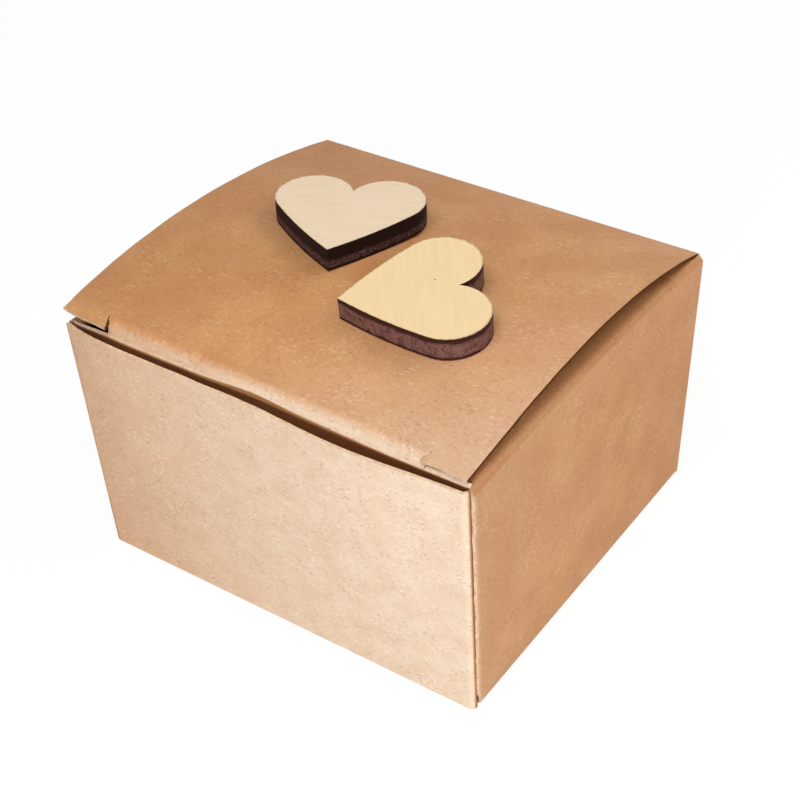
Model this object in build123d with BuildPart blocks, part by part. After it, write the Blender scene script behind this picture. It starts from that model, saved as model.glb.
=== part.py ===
"""Kraft favor box: a one-piece tuck carton with two plywood hearts glued on its lid.

Millimetres. The origin is the centre of the footprint on the table, +Z is up, the front panel
faces -Y and the lid is hinged on the back panel at +Y. Every flap turns about a crease: the
panel that carries it ends in a round nose on the crease's axis, and the flap starts just beyond.
"""

import os
from math import acos, asin, atan2, cos, degrees, hypot, radians, sin

from build123d import *

os.makedirs("parts", exist_ok=True)

# The sleeve
box_width = 60.0
box_depth = 54.0
box_height = 36.0
board = 0.4
fold_radius = 0.8
crease_gap = 0.45
front_bow = 2.1
bow_left_share = 0.3
bow_left_pull = 0.35
bow_right_share = 0.12
bow_right_pull = 1.95
glue_flap_length = 12.0
glue_flap_inset = 2.5
glue_flap_taper = 3.0
seam_set_back = 0.7

# The lid and its tuck flap
lid_side_gap = 0.5
lid_reach = 53.3
lid_lift = 1.1
lid_arch = 4.0
slit_length = 6.1
slit_width = 0.4
slit_hook = 2.3
roll_radius = 2.0
tuck_lean = 10.0
tuck_height = 12.0
tuck_side_gap = 1.4
tuck_corner = 7.0
shoulder_rise = 0.6

# The bottom closure, the same cut without the arch
bottom_reach = 53.2
bottom_roll_radius = 1.0
bottom_roll_set_back = 1.67
bottom_shoulder_rise = 0.4

# The dust flaps, two under the lid and two on the bottom
dust_width = 19.0
dust_front_gap = 4.7
dust_back_gap = 2.1
dust_back_taper = 10.5
dust_front_taper = 1.0
dust_corner = 3.0
bottom_dust_rise = 0.1

# The hearts: lobe centres beside the axis, measured from the tip
heart_thickness = 3.0
heart_plies = ("back", "core", "face")
lobe_radius = 5.0
lobe_offset = 4.72
lobe_height = 12.6
heart_side_radius = 60.0
heart_middle = 9.0
glue_thickness = 0.15
glue_radius = 4.0
glue_depth = 1.0
hearts = {
    "left": {"middle": (-8.1, 1.9), "turn": 23.0},
    "right": {"middle": (9.0, -7.4), "turn": -51.0},
}

# Places that follow from the driving dimensions
half_board = board / 2
half_width = box_width / 2
half_depth = box_depth / 2
side_crease = half_width - half_board
back_crease = half_depth - half_board
top_crease = box_height - half_board
bottom_crease = half_board
bottom_dust_crease = board + bottom_dust_rise + half_board
fold_line = fold_radius - half_board
fold_foot = 2 * board
fold_length = box_height - 4 * board
front_left = -half_width + fold_radius
front_right = half_width - board - fold_radius
back_fold = half_depth - fold_radius
lid_width = box_width - 2 * lid_side_gap
crease_width = lid_width - 2 * slit_length - slit_width
ear_length = slit_length - slit_width / 2
ear_middle = lid_width / 2 - ear_length / 2
tuck_width = box_width - 2 * tuck_side_gap


def save(piece, name):
    """Label a finished piece and write it as one file named after it."""
    piece.part.label = name
    export_step(piece.part, f"parts/{name}.step")


def corner_fold(centre, start_angle):
    """Section in plan of the board's quarter fold between two upright panels."""
    with BuildSketch(Plane.XY.offset(fold_foot)) as section:
        with BuildLine():
            CenterArc(centre, fold_line, start_angle, 90)
        trace(line_width=board)
    return section.sketch


def creased_strip(plane, across, low, high):
    """Section of a panel between its two creases: a strip with a round nose at each end."""
    with BuildSketch(plane) as section:
        with BuildLine():
            Line((across, low), (across, high))
        trace(line_width=board)
        with Locations((across, low), (across, high)):
            Circle(half_board)
    return section.sketch


# Sleeve: the front panel is held straight at its foot and bows out along its free top edge,
# most of all to the right of the middle. Its right end folds back as the glue flap.
bow_near = front_bow * bow_left_pull
bow_far = front_bow * bow_right_pull
front_face = -half_depth
front_inside = front_face + board
bow_start = front_left + box_width * bow_left_share
bow_end = front_right - box_width * bow_right_share

with BuildPart() as front_panel:
    with BuildSketch(Plane.XY):
        with BuildLine():
            Polyline(
                (front_left, front_face),
                (front_right, front_face),
                (front_right, front_inside),
                (front_left, front_inside),
                close=True,
            )
        make_face()
    with BuildSketch(Plane.XY.offset(box_height)):
        with BuildLine():
            Bezier(
                (front_left, front_face),
                (bow_start, front_face - bow_near),
                (bow_end, front_face - bow_far),
                (front_right, front_face),
            )
            Line((front_right, front_face), (front_right, front_inside))
            Bezier(
                (front_right, front_inside),
                (bow_end, front_inside - bow_far),
                (bow_start, front_inside - bow_near),
                (front_left, front_inside),
            )
            Line((front_left, front_inside), (front_left, front_face))
        make_face()
    loft(ruled=True)
    extrude(corner_fold((front_right, -back_fold), 270), amount=fold_length)
save(front_panel, "front_panel")

# The glue flap lies flat against the inside of the right panel, with tapered ends.
glue_low = glue_flap_inset
glue_high = box_height - glue_flap_inset
glue_end = -back_fold + glue_flap_length
with BuildPart() as glue_flap:
    with BuildSketch(Plane.YZ.offset(side_crease - board)):
        with BuildLine():
            Polyline(
                (-back_fold, glue_low),
                (glue_end, glue_low + glue_flap_taper),
                (glue_end, glue_high - glue_flap_taper),
                (-back_fold, glue_high),
                close=True,
            )
        make_face()
    extrude(amount=half_board, both=True)
save(glue_flap, "glue_flap")

# The right panel's front edge is a raw cut that stops just behind the front panel's fold.
raw_edge = -half_depth + seam_set_back
with BuildPart() as right_panel:
    strip = creased_strip(Plane.XZ.offset(-raw_edge), side_crease, bottom_dust_crease, top_crease)
    extrude(strip, amount=raw_edge - back_fold)
save(right_panel, "right_panel")

# The left panel folds round into the front panel.
with BuildPart() as left_panel:
    strip = creased_strip(Plane.XZ, -side_crease, bottom_dust_crease, top_crease)
    extrude(strip, amount=back_fold, both=True)
    extrude(corner_fold((front_left, -back_fold), 180), amount=fold_length)
save(left_panel, "left_panel")

# The back panel carries the lid on its top crease and the bottom on its lower one.
with BuildPart() as back_panel:
    strip = creased_strip(Plane.YZ, back_crease, bottom_crease, top_crease)
    extrude(strip, amount=half_width - fold_radius, both=True)
    extrude(corner_fold((half_width - fold_radius, back_fold), 0), amount=fold_length)
    extrude(corner_fold((-half_width + fold_radius, back_fold), 90), amount=fold_length)
save(back_panel, "back_panel")

# Lid: one arc from the crease to the front edge, in the YZ plane. Angles are polar angles
# about the arc's centre, so they grow from the hinge towards the front.
lid_chord = hypot(lid_reach, lid_lift)
arch_radius = (lid_chord**2 / 4 + lid_arch**2) / (2 * lid_arch)
arch_half = degrees(asin(lid_chord / 2 / arch_radius))
hinge_angle = 90 - degrees(atan2(lid_lift, lid_reach)) - arch_half
front_angle = hinge_angle + 2 * arch_half
slit_angle = front_angle - degrees(slit_hook / arch_radius)
lid_start_angle = hinge_angle + degrees(crease_gap / arch_radius)
arch_centre = (
    back_crease - arch_radius * cos(radians(hinge_angle)),
    top_crease - arch_radius * sin(radians(hinge_angle)),
)


def on_arc(centre, radius, angle):
    """Point of an arc in the YZ plane at a polar angle in degrees."""
    return (centre[0] + radius * cos(radians(angle)), centre[1] + radius * sin(radians(angle)))


def arc_section(centre, radius, start, end, nose=False, across=0.0):
    """Section of board along an arc between two polar angles, with a round nose at its end or not."""
    with BuildSketch(Plane.YZ.offset(across)) as section:
        with BuildLine():
            CenterArc(centre, radius, start, end - start)
        trace(line_width=board)
        if nose:
            with Locations(on_arc(centre, radius, end)):
                Circle(half_board)
    return section.sketch


# The roll at the lid's front edge turns down between the slits into the tuck flap. The lid
# holds its upper half, and the crease between the two is in the middle of the roll.
roll_centre = on_arc(arch_centre, arch_radius - roll_radius, slit_angle)
roll_end_angle = 180 + tuck_lean
roll_crease_angle = (slit_angle + roll_end_angle) / 2
roll_crease = on_arc(roll_centre, roll_radius, roll_crease_angle)
roll_end = on_arc(roll_centre, roll_radius, roll_end_angle)

with BuildPart() as lid_panel:
    arch = arc_section(arch_centre, arch_radius, lid_start_angle, slit_angle)
    extrude(arch, amount=lid_width / 2, both=True)
    for across in (-ear_middle, ear_middle):
        ear = arc_section(arch_centre, arch_radius, slit_angle, front_angle, across=across)
        extrude(ear, amount=ear_length / 2, both=True)
    roll = arc_section(roll_centre, roll_radius, slit_angle, roll_crease_angle, nose=True)
    extrude(roll, amount=crease_width / 2, both=True)
save(lid_panel, "lid_panel")


def tuck_outline(plane, rise):
    """Flat tuck flap below its crease, with round free corners and a raw shoulder at each end."""
    shoulder = (tuck_width - crease_width) / 2 - slit_width
    with BuildSketch(plane) as outline:
        Rectangle(tuck_width, tuck_height, align=(Align.CENTER, Align.MAX))
        fillet(outline.vertices().group_by(Axis.Y)[0], tuck_corner)
        for side in (-1, 1):
            with Locations((side * (tuck_width - shoulder) / 2, 0)):
                Rectangle(shoulder, rise, align=(Align.CENTER, Align.MIN))
    return outline.sketch


tuck_start_angle = roll_crease_angle + degrees(crease_gap / roll_radius)
lean = radians(tuck_lean)
with BuildPart() as lid_tuck_flap:
    roll = arc_section(roll_centre, roll_radius, tuck_start_angle, roll_end_angle)
    extrude(roll, amount=crease_width / 2, both=True)
    tuck_plane = Plane((0, *roll_end), x_dir=(1, 0, 0), z_dir=(0, -cos(lean), -sin(lean)))
    extrude(tuck_outline(tuck_plane, shoulder_rise), amount=half_board, both=True)
save(lid_tuck_flap, "lid_tuck_flap")

# Bottom: a flat panel with the same slits and tuck flap, turned up behind the front panel.
bottom_front = back_crease - bottom_reach
bottom_roll_start = bottom_front + bottom_roll_set_back
bottom_roll_centre = (bottom_roll_start, bottom_crease + bottom_roll_radius)
bottom_roll_end_angle = 180 - tuck_lean
bottom_crease_angle = (270 + bottom_roll_end_angle) / 2
bottom_roll_crease = on_arc(bottom_roll_centre, bottom_roll_radius, bottom_crease_angle)
bottom_roll_end = on_arc(bottom_roll_centre, bottom_roll_radius, bottom_roll_end_angle)
bottom_start = back_crease - crease_gap

with BuildPart() as bottom_panel:
    with BuildSketch():
        with Locations((0, bottom_start)):
            Rectangle(lid_width, bottom_start - bottom_roll_start, align=(Align.CENTER, Align.MAX))
        with Locations((-ear_middle, bottom_front), (ear_middle, bottom_front)):
            Rectangle(ear_length, bottom_roll_start - bottom_front, align=(Align.CENTER, Align.MIN))
    extrude(amount=board)
    roll = arc_section(bottom_roll_centre, bottom_roll_radius, 270, bottom_crease_angle, nose=True)
    extrude(roll, amount=crease_width / 2, both=True)
save(bottom_panel, "bottom_panel")

bottom_tuck_angle = bottom_crease_angle - degrees(crease_gap / bottom_roll_radius)
with BuildPart() as bottom_tuck_flap:
    roll = arc_section(bottom_roll_centre, bottom_roll_radius, bottom_tuck_angle, bottom_roll_end_angle)
    extrude(roll, amount=crease_width / 2, both=True)
    tuck_plane = Plane((0, *bottom_roll_end), x_dir=(-1, 0, 0), z_dir=(0, -cos(lean), sin(lean)))
    extrude(tuck_outline(tuck_plane, bottom_shoulder_rise), amount=half_board, both=True)
save(bottom_tuck_flap, "bottom_tuck_flap")

# Dust flaps: folded in from the side panels, tapered at the back so that they can rise while
# the lid opens, and set back at the front behind the tuck flap.
dust_front = -half_depth + dust_front_gap
dust_back = half_depth - dust_back_gap
for side, side_name in ((-1, "left"), (1, "right")):
    for level, closure in ((top_crease, ""), (bottom_dust_crease, "bottom_")):
        dust_start = side * (side_crease - crease_gap)
        dust_end = side * (side_crease - dust_width)
        with BuildPart() as dust_flap:
            with BuildSketch(Plane.XY.offset(level)) as outline:
                with BuildLine():
                    Polyline(
                        (dust_start, dust_front),
                        (dust_end, dust_front + dust_front_taper),
                        (dust_end, dust_back - dust_back_taper),
                        (dust_start, dust_back),
                        close=True,
                    )
                make_face()
                free_corners = outline.vertices().sort_by(Axis.X, reverse=side > 0)[2:]
                fillet(free_corners, dust_corner)
            extrude(amount=half_board, both=True)
        save(dust_flap, f"{closure}{side_name}_dust_flap")

# Hearts: cut from three-ply board, flat, each on its own dot of glue on the arched lid. A
# side of the heart is an arc from the tip that runs on smoothly into the round lobe.
side_arm = heart_side_radius - lobe_radius
lobe_distance = hypot(lobe_offset, lobe_height)
side_reach = (heart_side_radius**2 + lobe_distance**2 - side_arm**2) / (2 * lobe_distance)
side_turn = acos(side_reach / heart_side_radius)
side_heading = degrees(atan2(lobe_height, lobe_offset) + side_turn)
side_centre = on_arc((0, 0), heart_side_radius, side_heading)
lobe_angle = degrees(atan2(lobe_height - side_centre[1], lobe_offset - side_centre[0]))
notch_angle = 180 - degrees(acos(lobe_offset / lobe_radius))
tip_angle = side_heading - 180
ply = heart_thickness / len(heart_plies)


def heart_outline(plane):
    """Heart with its middle on the plane's origin and its tip towards the plane's -Y."""
    side_middle = (side_centre[0], side_centre[1] - heart_middle)
    lobe_middle = (lobe_offset, lobe_height - heart_middle)
    with BuildSketch(plane) as outline:
        with BuildLine() as half:
            CenterArc(side_middle, heart_side_radius, tip_angle, lobe_angle - tip_angle)
            CenterArc(lobe_middle, lobe_radius, lobe_angle, notch_angle - lobe_angle)
            mirror(half.line, about=Plane.YZ)
        make_face()
    return outline.sketch


for heart_name, place in hearts.items():
    middle_x, middle_y = place["middle"]
    turn = radians(place["turn"])
    foot_angle = 90 - degrees(asin((middle_y - arch_centre[0]) / arch_radius))
    slope = radians(foot_angle - 90)
    normal = (0, -sin(slope), cos(slope))
    along = (cos(turn), sin(turn) * cos(slope), sin(turn) * sin(slope))
    lid_top = on_arc(arch_centre, arch_radius + half_board, foot_angle)
    foot_plane = Plane((middle_x, *lid_top), x_dir=along, z_dir=normal).offset(glue_thickness)

    with BuildPart() as glue_dot:
        with BuildSketch(foot_plane):
            Circle(glue_radius)
        extrude(amount=-glue_depth)
        with BuildSketch(Plane.YZ):
            with Locations(arch_centre):
                Circle(arch_radius + half_board)
        extrude(amount=half_width, both=True, mode=Mode.SUBTRACT)
    save(glue_dot, f"{heart_name}_heart_glue")

    for layer, ply_name in enumerate(heart_plies):
        with BuildPart() as heart_ply:
            extrude(heart_outline(foot_plane.offset(layer * ply)), amount=ply)
        save(heart_ply, f"{heart_name}_heart_{ply_name}_ply")

print("lid hinge", (0, back_crease, top_crease))
print("lid tuck crease", roll_crease)
print("bottom hinge", (0, back_crease, bottom_crease))
print("bottom tuck crease", bottom_roll_crease)
print("side creases", side_crease, top_crease, bottom_dust_crease)
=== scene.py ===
"""Looks of the kraft favor box: folded board, a tucked lid and two plywood hearts.

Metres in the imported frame: +X to the right across the front, -Y out of the front panel, +Z up.
The functions work in millimetres, and a mesh is scaled to metres when it is made.
"""

import bpy
import numpy as np
from mathutils import Matrix


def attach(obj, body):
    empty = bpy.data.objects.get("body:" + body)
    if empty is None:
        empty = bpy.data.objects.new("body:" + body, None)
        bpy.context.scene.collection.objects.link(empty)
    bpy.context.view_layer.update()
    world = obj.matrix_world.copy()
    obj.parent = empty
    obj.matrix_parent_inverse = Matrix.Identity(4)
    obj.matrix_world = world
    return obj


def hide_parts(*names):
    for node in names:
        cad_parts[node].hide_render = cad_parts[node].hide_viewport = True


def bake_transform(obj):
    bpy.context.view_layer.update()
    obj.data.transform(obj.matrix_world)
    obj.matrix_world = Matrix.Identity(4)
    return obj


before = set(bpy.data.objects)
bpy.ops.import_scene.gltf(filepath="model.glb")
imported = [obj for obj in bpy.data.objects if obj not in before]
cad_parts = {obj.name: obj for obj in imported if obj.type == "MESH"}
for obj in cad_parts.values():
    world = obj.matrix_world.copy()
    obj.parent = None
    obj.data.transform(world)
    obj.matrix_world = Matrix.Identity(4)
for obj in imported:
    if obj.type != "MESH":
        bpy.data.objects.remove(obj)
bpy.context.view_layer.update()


# Front panel: the face of the one-piece blank that is cut from 0.4 mm unbleached kraft board.
# Its foot is held straight by the bottom tuck, its free top edge bows out from the lid's tuck
# flap, and its right end is folded back to become the glue flap.
mm = 0.001
board = 0.4
box_height = 36.0
fold_bend = 0.6
quarter_fold = fold_bend * np.pi / 2
foot_draw = 0.02
short_step = 0.02
cut_wander = 0.03
front_left, front_line, front_width = -29.2, -26.8, 58.0
front_start = 166.1
front_bulge, bulge_place, bulge_spread = 0.95, 14.0, 7.5
corner_push, push_from, push_run = 1.05, -29.3, 4.2
# Painted highlight: the front panel's face is painted paler, more towards its right end.
front_highlight_base, front_highlight_gain = 0.37, 0.61
# Painted shade: the seam's crack at the front panel's right end is painted brown.
seam_from, seam_run, seam_shade = 58.55, 0.25, 0.75
# Fibres: direction in degrees, length, width, share of the grid's cells that hold one, and shift.
pale_fibres = (
    (4, 1.0, 0.24, 0.75, 11), (-28, 0.9, 0.23, 0.6, 37), (34, 0.9, 0.23, 0.6, 71), (75, 0.75, 0.22, 0.6, 97))
dark_fibres = ((-10, 0.9, 0.23, 0.75, 131), (36, 0.75, 0.22, 0.6, 151), (-48, 0.75, 0.22, 0.6, 173))
dark_specks = (20, 0.32, 0.25, 0.012, 211)


def plug(tree, socket, value):
    """Sets a socket to a value, or links it from another socket."""
    if isinstance(value, bpy.types.NodeSocket):
        tree.links.new(value, socket)
    else:
        socket.default_value = value


def node(tree, kind, sockets=(), **settings):
    """A shader node with its settings, and its sockets set or linked."""
    made = tree.nodes.new(kind)
    for name, value in settings.items():
        setattr(made, name, value)
    for name, value in dict(sockets).items():
        plug(tree, made.inputs[name], value)
    return made


def ramp(tree, value, low, high, to_low=0.0, to_high=1.0):
    """A value carried smoothly from one range to another, held at both ends."""
    sockets = {"Value": value, "From Min": low, "From Max": high, "To Min": to_low, "To Max": to_high}
    return node(tree, "ShaderNodeMapRange", sockets, interpolation_type="SMOOTHSTEP").outputs[0]


def math(tree, operation, first, second):
    """Two values joined by one operation."""
    return node(tree, "ShaderNodeMath", {0: first, 1: second}, operation=operation).outputs[0]


def product(tree, first, *others):
    """Values multiplied together."""
    for other in others:
        first = math(tree, "MULTIPLY", first, other)
    return first


def vectors(tree, operation, first, second, output=0):
    """Two vectors joined by one operation."""
    return node(tree, "ShaderNodeVectorMath", {0: first, 1: second}, operation=operation).outputs[output]


def tint(tree, share, under, over):
    """One colour laid over another by a share."""
    under, over = [(*colour, 1.0) if isinstance(colour, tuple) else colour for colour in (under, over)]
    return node(tree, "ShaderNodeMix", {0: share, 6: under, 7: over}, data_type="RGBA").outputs[2]


def cloud(tree, place, size, detail=2.0, dimensions="2D", output=0):
    """Soft noise from 0 to 1 in patches about as wide as size, or its colour from output 1."""
    sockets = {"Vector": place, "Scale": 1.0 / size, "Detail": detail}
    return node(tree, "ShaderNodeTexNoise", sockets, noise_dimensions=dimensions).outputs[output]


def stretched(tree, place, scale, turn=0.0, shift=(0, 0, 0)):
    """Places that stretch, turn and shift the pattern that is laid on them."""
    sockets = {"Vector": place, "Location": shift, "Rotation": (0, 0, np.radians(turn)), "Scale": scale}
    return node(tree, "ShaderNodeMapping", sockets, vector_type="TEXTURE").outputs[0]


def strokes(tree, place, turn, length, width, kept, shift):
    """Short strokes of one direction, at most one in each cell of a stretched random grid.

    A stroke shows near its cell's random centre, only in the share of cells that is kept, and its
    strength differs from cell to cell.
    """
    cells = stretched(tree, place, (3.0 * length, 3.0 * width, 1), turn, (shift, 2 * shift, 0))
    grid = node(tree, "ShaderNodeTexVoronoi", {"Vector": cells, "Scale": 1.0}, voronoi_dimensions="2D")
    chance = node(tree, "ShaderNodeSeparateColor", {0: grid.outputs["Color"]})
    shape = ramp(tree, grid.outputs["Distance"], 0.02, 0.19, 1.0, 0.0)
    chosen = ramp(tree, chance.outputs[0], kept - 0.02, kept + 0.02, 1.0, 0.0)
    strength = ramp(tree, chance.outputs[1], 0.0, 1.0, 0.35, 1.0)
    return product(tree, shape, chosen, strength)


def many_strokes(tree, place, kinds):
    """Strokes of several kinds together: at each point the strongest shows."""
    strongest, *others = [strokes(tree, place, *kind) for kind in kinds]
    for other in others:
        strongest = math(tree, "MAXIMUM", strongest, other)
    return strongest


def carried_value(tree, name):
    """A value that each point of the mesh carries."""
    return node(tree, "ShaderNodeAttribute", attribute_name=name).outputs["Fac"]


def painted_shade(tree, tone_shift, colour, brown):
    """Painted shade: a colour turned brown where the crest value is below 0."""
    return tint(tree, math(tree, "MAXIMUM", product(tree, tone_shift, -1.0), 0.0), colour, brown)


def new_material(name):
    """An empty material with its tree and its shader, ready for nodes."""
    made = bpy.data.materials.new(name)
    made.use_nodes = True
    return made, made.node_tree, made.node_tree.nodes["Principled BSDF"]


def finish_look(tree, shader, colour, roughness, shine, relief, strength, depth):
    """Gives a shader its colour, roughness and shine, and a fine relief that is at most depth deep."""
    bump = node(tree, "ShaderNodeBump", {"Strength": strength, "Distance": depth * mm, "Height": relief})
    plug(tree, shader.inputs["Base Color"], colour)
    plug(tree, shader.inputs["Roughness"], roughness)
    plug(tree, shader.inputs["Specular IOR Level"], shine)
    plug(tree, shader.inputs["Normal"], bump.outputs[0])


def kraft_board():
    """Smooth side of kraft board: two tones in soft patches, fine lying grain and short pale and dark fibres.

    The crest value of a point makes it paler above 0, as wear at the folds and as painted highlight and
    painted light elsewhere; below 0 it turns the colour brown as painted shade.
    """
    made, tree, shader = new_material("kraft_board")
    flat = node(tree, "ShaderNodeUVMap", uv_map="blank").outputs[0]
    drift = cloud(tree, flat, 2.0, 1.0, output=1)
    bent = vectors(tree, "MULTIPLY", drift, (0.25, 0.25, 0))
    place = vectors(tree, "ADD", flat, bent)
    lying = stretched(tree, flat, (1.5, 1, 1))

    pale = many_strokes(tree, place, pale_fibres)
    dark = many_strokes(tree, place, dark_fibres)
    speck = strokes(tree, flat, *dark_specks)
    thick = ramp(tree, cloud(tree, flat, 5.0), 0.38, 0.66, 0.25, 1.0)
    thin = ramp(tree, cloud(tree, place, 4.0), 0.36, 0.64, 1.0, 0.25)

    patch = ramp(tree, cloud(tree, flat, 8.0, 3.0), 0.3, 0.72)
    colour = tint(tree, patch, (0.495, 0.230, 0.086), (0.562, 0.286, 0.116))
    blush = ramp(tree, cloud(tree, place, 21.0, 1.0), 0.35, 0.7, 0.0, 0.45)
    colour = tint(tree, blush, colour, (0.558, 0.264, 0.126))
    grain = ramp(tree, cloud(tree, lying, 0.45, 3.0), 0.3, 0.7, 0.0, 0.25)
    colour = tint(tree, grain, colour, (0.430, 0.190, 0.078))
    tone_shift = carried_value(tree, "crest")
    paling_patches = ramp(tree, cloud(tree, lying, 2.6, 4.0), 0.25, 0.75, 0.8, 1.0)
    # Paler where the crest value is above 0: wear at the folds, and painted highlight and painted light
    # elsewhere.
    colour = tint(tree, product(tree, tone_shift, paling_patches), colour, (0.750, 0.600, 0.455))
    raised = product(tree, thick, ramp(tree, tone_shift, -0.2, 0.9, 0.2, 0.48))
    colour = tint(tree, product(tree, pale, raised), colour, (0.960, 0.820, 0.660))
    colour = tint(tree, product(tree, dark, thin, 0.5), colour, (0.260, 0.110, 0.045))
    colour = tint(tree, product(tree, speck, 0.75), colour, (0.120, 0.045, 0.018))
    fleck = ramp(tree, cloud(tree, lying, 0.4, 4.0), 0.3, 0.7, 0.965, 1.035)
    colour = vectors(tree, "MULTIPLY", colour, fleck)
    # Painted shade: brown where the crest value is below 0.
    colour = painted_shade(tree, tone_shift, colour, (0.150, 0.070, 0.034))

    fine = cloud(tree, flat, 0.3)
    relief = math(tree, "ADD", product(tree, fine, 0.5), product(tree, pale, 0.5))
    roughness = ramp(tree, fine, 0.3, 0.7, 0.44, 0.58)
    finish_look(tree, shader, colour, roughness, 0.18, relief, 0.3, 0.07)
    return made


def cut_board():
    """Cut edge of the board: pale torn fibre in two tones, turned brown as painted shade where the crest
    value is below 0.
    """
    made, tree, shader = new_material("cut_board")
    place = node(tree, "ShaderNodeTexCoord").outputs["Object"]
    fibre = ramp(tree, cloud(tree, place, 0.5 * mm, 3.0, "3D"), 0.3, 0.7)
    colour = tint(tree, fibre, (0.600, 0.385, 0.225), (0.760, 0.560, 0.380))
    colour = painted_shade(tree, carried_value(tree, "crest"), colour, (0.095, 0.034, 0.010))
    finish_look(tree, shader, colour, 0.9, 0.03, fibre, 0.3, 0.05)
    return made


board_looks = kraft_board(), cut_board()


def placed(name, data):
    """An object of the scene that shows a mesh, a lamp or a camera."""
    made = bpy.data.objects.new(name, data)
    bpy.context.scene.collection.objects.link(made)
    return made


def dress(mesh, looks, slots, layer, places, sharp):
    """Gives a mesh its looks, its flat places for them, and smooth shading up to an angle in degrees."""
    mesh.uv_layers.new(name=layer).data.foreach_set("uv", places.ravel().astype(np.float32))
    mesh.polygons.foreach_set("material_index", slots)
    mesh.shade_smooth()
    mesh.set_sharp_from_angle(angle=np.radians(sharp))
    for look in looks:
        mesh.materials.append(look)


def carry(mesh, name, values):
    """Gives each point of a mesh a value for its looks."""
    mesh.attributes.new(name, "FLOAT", "POINT").data.foreach_set("value", values.astype(np.float32))


def joined(*parts):
    """Values spread over each other's shapes and joined as the coordinates of points."""
    return np.stack(np.broadcast_arrays(*parts), axis=-1)


def unit(vector):
    """A vector's direction, with the length 1."""
    return vector / np.linalg.norm(vector, axis=-1, keepdims=True)


def board_sheet(name, middle, flat, kept=None, crest=None):
    """A closed sheet of board from a grid of points on its middle surface.

    Each point is moved half the board's thickness to both sides, and every free edge gets a rim of cut
    flat is each point's place on the unfolded blank, kept marks the grid's cells that the cutting
    leaves, and crest is each point's fold wear and painted light and shade. Only the outer side is made
    paler; the brown painted shade goes on both sides.
    """
    rows, columns = middle.shape[:2]
    count = rows * columns
    normal = unit(np.cross(np.gradient(middle, axis=1), np.gradient(middle, axis=0)))
    points = np.concatenate([middle + normal * board / 2, middle - normal * board / 2]).reshape(-1, 3)
    corner = np.arange(count).reshape(rows, columns)
    cells = joined(corner[:-1, :-1], corner[:-1, 1:], corner[1:, 1:], corner[1:, :-1])
    face = cells.reshape(-1, 4) if kept is None else cells[kept]
    edges = joined(face, np.roll(face, -1, axis=1)).reshape(-1, 2)
    free = edges[~np.isin(edges[:, 1] * count + edges[:, 0], edges[:, 0] * count + edges[:, 1])]
    rim = joined(free[:, 1], free[:, 0], free[:, 0] + count, free[:, 1] + count)
    used, faces = np.unique(np.concatenate([face, face[:, ::-1] + count, rim]), return_inverse=True)
    faces = faces.reshape(-1, 4)

    mesh = bpy.data.meshes.new(name)
    mesh.from_pydata(points[used] * mm, [], faces)
    blank = np.concatenate([flat.reshape(-1, 2)] * 2)[used][faces.ravel()]
    dress(mesh, board_looks, np.repeat([0, 1], [2 * len(face), len(rim)]), "blank", blank, 38)
    if crest is not None:
        crest = np.broadcast_to(crest, (rows, columns)).ravel()
        carry(mesh, "crest", np.concatenate([crest, np.minimum(crest, 0)])[used])
    sheet = placed(name, mesh)
    return sheet


def eased(count, length):
    """Shares from 0 to 1 with a tiny first and last step, so that the shading agrees where sheets meet."""
    short = short_step / length
    return np.r_[0, short, np.linspace(0, 1, count + 1)[1:-1], 1 - short, 1]


def wall_line(start, heading, runs):
    """Plan of a folded wall: straight runs and left-hand arcs carried on from each other.

    A run is its length, its turn in degrees and its steps. Returns the points, the outward
    directions, the lengths along the wall and how near to the crest of a fold each point is.
    """
    place, angle, length = np.array(start), np.radians(heading), 0.0
    parts = []
    for run, turn, steps in runs:
        share = eased(steps, run)
        turned = angle + np.radians(turn) * share
        if turn:
            radius = run / np.radians(turn)
            step = radius * joined(np.sin(turned) - np.sin(angle), np.cos(angle) - np.cos(turned))
        else:
            step = (run * share)[:, None] * [np.cos(angle), np.sin(angle)]
        crest = np.sin(np.pi * share) if turn else 0 * share
        lengths = length + run * share
        parts.append(np.column_stack([place + step, np.sin(turned), -np.cos(turned), lengths, crest]))
        place, angle, length = place + step[-1], turned[-1], length + run
    line = np.concatenate([parts[0], *[part[1:] for part in parts[1:]]])
    return line[:, :2], line[:, 2:4], line[:, 4], line[:, 5]


def drawn_in(height):
    """Share of its plan that the sleeve keeps at a height: its foot is drawn in a little."""
    return 1 - foot_draw * (1 - height / box_height)


def sleeve_wall(plan, outward, heights, belly):
    """A wall of the sleeve: its plan carried up its heights, drawn in at the foot and pushed out by belly."""
    height = np.broadcast_to(heights, belly.shape)
    across = plan * drawn_in(height)[..., None] + outward * belly[..., None]
    return np.concatenate([across, height[..., None]], axis=2)


def ragged(count, size, seed):
    """Small smooth offsets along a cut edge: seeded noise averaged over five neighbours."""
    weights = np.array([1, 2, 3, 2, 1]) / np.sqrt(19)
    return size * np.convolve(np.random.default_rng(seed).normal(size=count + 4), weights, "valid")


def pushed(heights):
    """How far the front right corner stands forward, growing up the seam."""
    return corner_push * heights / box_height


front_runs = ((front_width, 0, 58), (quarter_fold, 90, 10))
front_plan, front_out, front_run, _ = wall_line((front_left, front_line), 0, front_runs)
front_across = front_plan[:, 0]
front_height = np.linspace(0, box_height, 49)[:, None]
front_middle = sleeve_wall(front_plan, front_out, front_height, 0 * front_height * front_run)
front_lean = np.tanh((front_across - push_from) / push_run)
front_bump = front_bulge * np.exp(-0.5 * ((front_across - bulge_place) / bulge_spread) ** 2)
front_middle[..., 1] -= pushed(front_height) * front_lean + front_bump * front_height / box_height
front_middle[-1, :, 2] += ragged(len(front_plan), cut_wander, 1)
front_share = np.clip((front_across - front_left) / front_width, 0, 1)
# Painted highlight, growing towards the right end of the front panel.
front_highlight = front_highlight_base + front_highlight_gain * np.sin(np.pi / 2 * front_share)
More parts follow.
